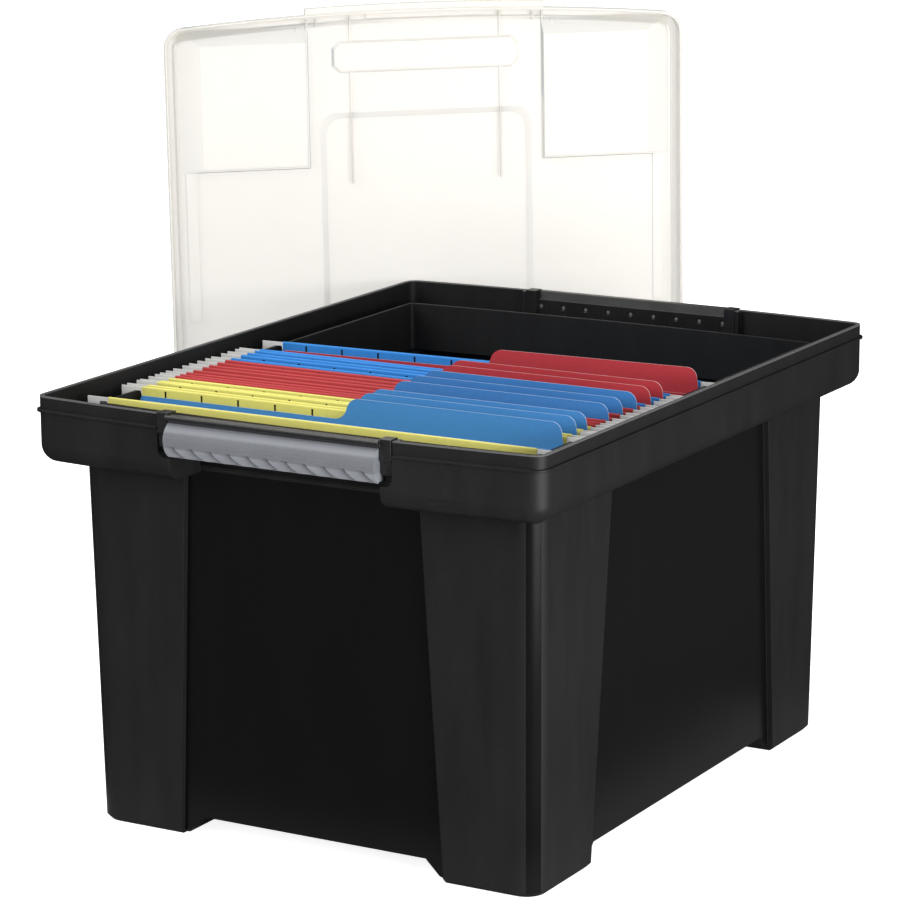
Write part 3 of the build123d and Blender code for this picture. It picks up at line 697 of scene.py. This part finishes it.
class FILEBOX_OT_hanging_folders(bpy.types.Operator):
    """Make the hanging folders, each one creased sheet round its two rods"""
    bl_idname = "filebox.hanging_folders"
    bl_label = "Hanging folders"

    def execute(self, context):
        colours = context.scene.folder_colours
        papers = {}
        for shade in ("yellow", "red", "blue"):
            papers[shade] = paper_finish(f"Hanging folder {shade}", getattr(colours, shade))
        dark, _, shader, _ = start_material("Slot shadow")
        shader.inputs["Base Color"].default_value = (0.004, 0.004, 0.004, 1.0)
        shader.inputs["Roughness"].default_value = 0.9
        pale = paper_finish("Slot end", (0.80, 0.80, 0.76))
        for name in FOLDERS:
            shade = name.split("_")[0]
            front, left, right = hem_places(name)
            bm = bmesh.new()
            back_turn = skew_matrix(left, right)
            back_part = [(0.0 - SLING_FOOT, FOLD_BOTTOM), (0.0, FOLD_BOTTOM)] + hem_path(1)
            verts, edges = chain(bm, back_part)
            bmesh.ops.translate(bm, vec=(-SLING_WIDTH / 2, 0, 0), verts=verts)
            drag(bm, edges, (SLING_WIDTH, 0.0, 0.0))
            for i in range(SLOT_COUNT):
                middle = SLOT_FIRST + i * SLOT_PITCH
                for x in (middle - SLOT_WIDTH / 2, middle + SLOT_WIDTH / 2):
                    bmesh.ops.bisect_plane(bm, geom=bm.verts[:] + bm.edges[:] + bm.faces[:],
                                           plane_co=(x, 0, 0), plane_no=(1, 0, 0), dist=1e-7)
            slot_top = HEM_TOP - SLOT_DROP
            for z in (slot_top, slot_top - SLOT_HEIGHT * 0.72, slot_top - SLOT_HEIGHT):
                bmesh.ops.bisect_plane(bm, geom=bm.verts[:] + bm.edges[:] + bm.faces[:],
                                       plane_co=(0, 0, z), plane_no=(0, 0, 1), dist=1e-7)
            bmesh.ops.transform(bm, matrix=back_turn, verts=bm.verts)
            turned = back_turn.inverted()
            for face in bm.faces:
                spot = turned @ face.calc_center_median()
                step = (spot.x - SLOT_FIRST) / SLOT_PITCH
                near = abs(step - round(step)) * SLOT_PITCH < SLOT_WIDTH / 2
                if (near and -0.5 < step < SLOT_COUNT - 0.5 and spot.y < -HEM_HALF * 0.6
                        and slot_top - SLOT_HEIGHT < spot.z < slot_top):
                    face.material_index = 1 if spot.z > slot_top - SLOT_HEIGHT * 0.72 else 2
            slots = [f for f in bm.faces if f.material_index]
            made = bmesh.ops.extrude_face_region(bm, geom=slots)["geom"]
            bmesh.ops.translate(bm, vec=back_turn.to_3x3() @ Vector((0.0, SLOT_DEPTH, 0.0)),
                                verts=[v for v in made if isinstance(v, bmesh.types.BMVert)])
            bmesh.ops.delete(bm, geom=slots, context="FACES")
            foot = [v for v in bm.verts if v.co.z < FOLD_BOTTOM + 1e-5
                    and (turned @ v.co).y < -SLING_FOOT + 1e-5]
            foot_edges = [e for e in bm.edges if e.verts[0] in foot and e.verts[1] in foot]
            made = bmesh.ops.extrude_edge_only(bm, edges=foot_edges)["geom"]
            rise = [v for v in made if isinstance(v, bmesh.types.BMVert)]
            path = hem_path(-1)
            foot_y = min(v.co.y for v in foot)
            for v in foot:
                v.co.y = foot_y
            for v in rise:
                v.co.y = front + path[0][0]
                v.co.z = path[0][1]
            edges = [e for e in made if isinstance(e, bmesh.types.BMEdge)]
            for (y0, z0), (y1, z1) in zip(path, path[1:]):
                edges = drag(bm, edges, (0.0, y1 - y0, z1 - z0))
            bmesh.ops.remove_doubles(bm, verts=bm.verts, dist=1e-6)
            bmesh.ops.recalc_face_normals(bm, faces=bm.faces)
            bmesh.ops.translate(bm, vec=(FOLDER_X, TUB_Y, 0.0), verts=bm.verts)
            piece = finish_piece(f"sling_{name}", bm, [papers[shade], dark, pale], f"{shade}_folders",
                                 [f"hanging_folder_{name}"], smooth=radians(40))
            thick = piece.modifiers.new("Paper", "SOLIDIFY")
            thick.thickness = PAPER
            thick.offset = 0.0
        return {"FINISHED"}


class FILEBOX_OT_rods(bpy.types.Operator):
    """Finish the hanging folders' rods"""
    bl_idname = "filebox.rods"
    bl_label = "Rods"

    def execute(self, context):
        coating = rod_finish()
        for name in FOLDERS:
            for end in ("front", "back"):
                dress_node(f"rod_{end}_{name}", coating)
        return {"FINISHED"}


def leaf(bm, outline, rounded, middle):
    """A sheet of card from a few (x, z) corners, the rounded ones given by index and radius."""
    verts = [bm.verts.new((x, middle + CARD / 2, z)) for x, z in outline]
    face = bm.faces.new(verts)
    for index, radius in rounded:
        bmesh.ops.bevel(bm, geom=[verts[index]], offset=radius, segments=7, profile=0.5,
                        affect="VERTICES", material=-1)
    faces = [f for f in bm.faces if abs(f.calc_center_median().y - middle - CARD / 2) < 1e-7]
    made = bmesh.ops.extrude_face_region(bm, geom=faces)["geom"]
    bmesh.ops.translate(bm, vec=(0.0, -CARD, 0.0),
                        verts=[v for v in made if isinstance(v, bmesh.types.BMVert)])
    return face


class FILEBOX_OT_file_folders(bpy.types.Operator):
    """Make the file folders with their half-cut tabs"""
    bl_idname = "filebox.file_folders"
    bl_label = "File folders"

    def execute(self, context):
        colours = context.scene.folder_colours
        cards = {"yellow": ("light_blue_card", colours.front_card),
                 "red": ("blue_card", colours.middle_card),
                 "blue": ("dark_red_card", colours.back_card)}
        finishes = {}
        for shade, (slot, colour) in cards.items():
            finishes[shade] = [paper_finish(f"Card {slot}", colour), edge_finish(f"Card edge {slot}", colour)]
        half = FILE_WIDTH / 2
        plain_top = FILE_EDGE - FRONT_LEAF_DROP
        plain = [(-half, FILE_BOTTOM), (half, FILE_BOTTOM), (half, plain_top), (-half, plain_top)]
        for name in FOLDERS:
            if f"file_folder_{name}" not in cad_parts:
                continue
            shade = name.split("_")[0]
            _, left, right = hem_places(name)
            tab_left = TAB_LEFT + TAB_SHIFTS.get(name, 0.0)
            tabbed = [(-half, FILE_BOTTOM), (half, FILE_BOTTOM), (half, FILE_EDGE),
                      (half - TAB_RUN / 3, FILE_TOP), (tab_left + TAB_RUN, FILE_TOP),
                      (tab_left, FILE_EDGE), (-half, FILE_EDGE)]
            ahead = right - (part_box(f"file_folder_{name}")[1][1] - CARD / 2 - TUB_Y)
            bm = bmesh.new()
            leaf(bm, tabbed, ((3, TAB_CORNER), (4, TAB_CORNER), (5, TAB_CORNER), (6, 0.003)), 0.0)
            leaf(bm, plain, ((2, 0.003), (3, 0.003)), -FILE_STEP)
            fold = bmesh.ops.create_cube(bm, size=1.0)["verts"]
            bmesh.ops.scale(bm, vec=(FILE_WIDTH, FILE_STEP - CARD, CARD), verts=fold)
            bmesh.ops.translate(bm, vec=(0.0, -FILE_STEP / 2, FILE_BOTTOM + CARD / 2), verts=fold)
            bmesh.ops.recalc_face_normals(bm, faces=bm.faces)
            for face in bm.faces:
                face.material_index = 0 if abs(face.normal.y) > 0.7 else 1
            bmesh.ops.translate(bm, vec=(0.0, -ahead, 0.0), verts=bm.verts)
            bmesh.ops.transform(bm, matrix=skew_matrix(left, right), verts=bm.verts)
            bmesh.ops.translate(bm, vec=(FOLDER_X, TUB_Y, 0.0), verts=bm.verts)
            finish_piece(f"file_{name}", bm, finishes[shade], f"{shade}_folders",
                         [f"file_folder_{name}"], smooth=radians(35))
        return {"FINISHED"}


def floor_finish():
    """Pale floor, dim in the box's gloss but for a painted band of light next to the box, and taking only a
    faint shadow.
    """
    finish, tree, shader, place = start_material("Studio floor")
    shader.inputs["Roughness"].default_value = 0.9
    shader.inputs["Specular IOR Level"].default_value = 0.0
    shader.inputs["Emission Color"].default_value = (1.0, 1.0, 1.0, 1.0)
    rays = tree.nodes.new("ShaderNodeLightPath").outputs
    split = tree.nodes.new("ShaderNodeSeparateXYZ")
    link(tree, place, split.inputs[0])
    squares = []
    for value, centre, half in ((split.outputs[0], TUB_X, BODY_HALF_X), (split.outputs[1], TUB_Y, BODY_HALF_Y)):
        away = math_node(tree, "ABSOLUTE", math_node(tree, "SUBTRACT", value, centre))
        away = math_node(tree, "MAXIMUM", math_node(tree, "SUBTRACT", away, half), 0.0)
        squares.append(math_node(tree, "MULTIPLY", away, away))
    near = tree.nodes.new("ShaderNodeMapRange")
    near.interpolation_type = "SMOOTHSTEP"
    near.inputs["From Max"].default_value = 0.09
    near.inputs["To Min"].default_value = 1.0
    near.inputs["To Max"].default_value = 0.0
    link(tree, math_node(tree, "SQRT", math_node(tree, "ADD", squares[0], squares[1])), near.inputs["Value"])
    # painted light: the floor next to the box is brighter in the box's gloss than further out
    mirrored = mix_colour(tree, near.outputs[0], (0.065, 0.065, 0.065), (0.35, 0.35, 0.35))
    link(tree, mix_colour(tree, rays["Is Glossy Ray"], (0.85, 0.85, 0.85), mirrored),
         shader.inputs["Base Color"])
    link(tree, math_node(tree, "MULTIPLY", rays["Is Camera Ray"], 0.86), shader.inputs["Emission Strength"])
    return finish


def studio_sky(settings):
    """Surroundings: white behind the box, even on matt surfaces and dim in gloss."""
    world = bpy.data.worlds.new("Studio sky")
    world.use_nodes = True
    tree = world.node_tree
    rays = tree.nodes.new("ShaderNodeLightPath").outputs
    matt = math_node(tree, "MULTIPLY", rays["Is Diffuse Ray"], settings.sky)
    seen = math_node(tree, "ADD", matt, rays["Is Camera Ray"])
    gloss = math_node(tree, "MULTIPLY", rays["Is Glossy Ray"], settings.sky_gloss)
    sky = tree.nodes["Background"]
    sky.inputs["Color"].default_value = (1.0, 1.0, 1.0, 1.0)
    link(tree, math_node(tree, "ADD", seen, gloss), sky.inputs["Strength"])
    return world


class FILEBOX_OT_stage(bpy.types.Operator):
    """Lay the pale floor and set the light and the camera"""
    bl_idname = "filebox.stage"
    bl_label = "Studio"

    def execute(self, context):
        settings = context.scene.studio_settings
        scene = context.scene
        bm = bmesh.new()
        bmesh.ops.create_grid(bm, x_segments=1, y_segments=1, size=30.0)
        mesh = bpy.data.meshes.new("floor")
        bm.to_mesh(mesh)
        bm.free()
        floor = bpy.data.objects.new("floor", mesh)
        scene.collection.objects.link(floor)
        mesh.materials.append(floor_finish())
        scene.world = studio_sky(settings)
        lights = (("Top light", settings.top_power, 1.3, (-0.8, -0.3, 2.2)),
                  ("Side light", settings.side_power, 0.8, (1.3, -0.5, 0.2)),
                  ("Front light", settings.front_power, 1.6, (-1.2, -2.2, 1.5)))
        target = Vector((TUB_X, TUB_Y, 0.15))
        for name, power, size, place in lights:
            lamp = bpy.data.lights.new(name, "AREA")
            lamp.shape = "DISK"
            lamp.size = size
            lamp.energy = power
            light = bpy.data.objects.new(name, lamp)
            light.location = place
            light.rotation_euler = (target - Vector(place)).to_track_quat("-Z", "Y").to_euler()
            light.visible_camera = False
            scene.collection.objects.link(light)

        lens = bpy.data.cameras.new("Camera")
        lens.sensor_width = 36.0
        lens.lens = settings.camera_lens
        lens.clip_end = 100.0
        camera = bpy.data.objects.new("Camera", lens)
        turn = (Matrix.Rotation(settings.camera_turn, 4, "Z")
                @ Matrix.Rotation(pi / 2 - settings.camera_dip, 4, "X")
                @ Matrix.Rotation(settings.camera_roll, 4, "Z"))
        camera.matrix_world = Matrix.Translation(settings.camera_place) @ turn
        scene.collection.objects.link(camera)
        scene.camera = camera
        scene.view_settings.view_transform = "Standard"
        return {"FINISHED"}


class FILEBOX_PT_panel(bpy.types.Panel):
    """The file box's pieces, finishes and studio"""
    bl_idname = "FILEBOX_PT_panel"
    bl_label = "File Box"
    bl_space_type = "VIEW_3D"
    bl_region_type = "UI"
    bl_category = "File Box"

    def draw(self, context):
        layout = self.layout
        for group in (context.scene.file_box_colours, context.scene.folder_colours,
                      context.scene.studio_settings):
            box = layout.box()
            for field in group.__annotations__:
                box.prop(group, field)
        for operator in OPERATORS:
            layout.operator(operator.bl_idname)


OPERATORS = (FILEBOX_OT_tub, FILEBOX_OT_handles, FILEBOX_OT_lid, FILEBOX_OT_rods,
             FILEBOX_OT_hanging_folders, FILEBOX_OT_file_folders, FILEBOX_OT_stage)
GROUPS = (("file_box_colours", BoxColours), ("folder_colours", FolderColours),
          ("studio_settings", StudioSettings))


def register():
    for _, group in GROUPS:
        bpy.utils.register_class(group)
    for operator in OPERATORS:
        bpy.utils.register_class(operator)
    bpy.utils.register_class(FILEBOX_PT_panel)
    for name, group in GROUPS:
        setattr(bpy.types.Scene, name, bpy.props.PointerProperty(type=group))


def unregister():
    for name, _ in GROUPS:
        delattr(bpy.types.Scene, name)
    bpy.utils.unregister_class(FILEBOX_PT_panel)
    for operator in reversed(OPERATORS):
        bpy.utils.unregister_class(operator)
    for _, group in reversed(GROUPS):
        bpy.utils.unregister_class(group)


def main():
    register()
    for operator in OPERATORS:
        group, name = operator.bl_idname.split(".")
        getattr(getattr(bpy.ops, group), name)()


if __name__ == "__main__":
    main()
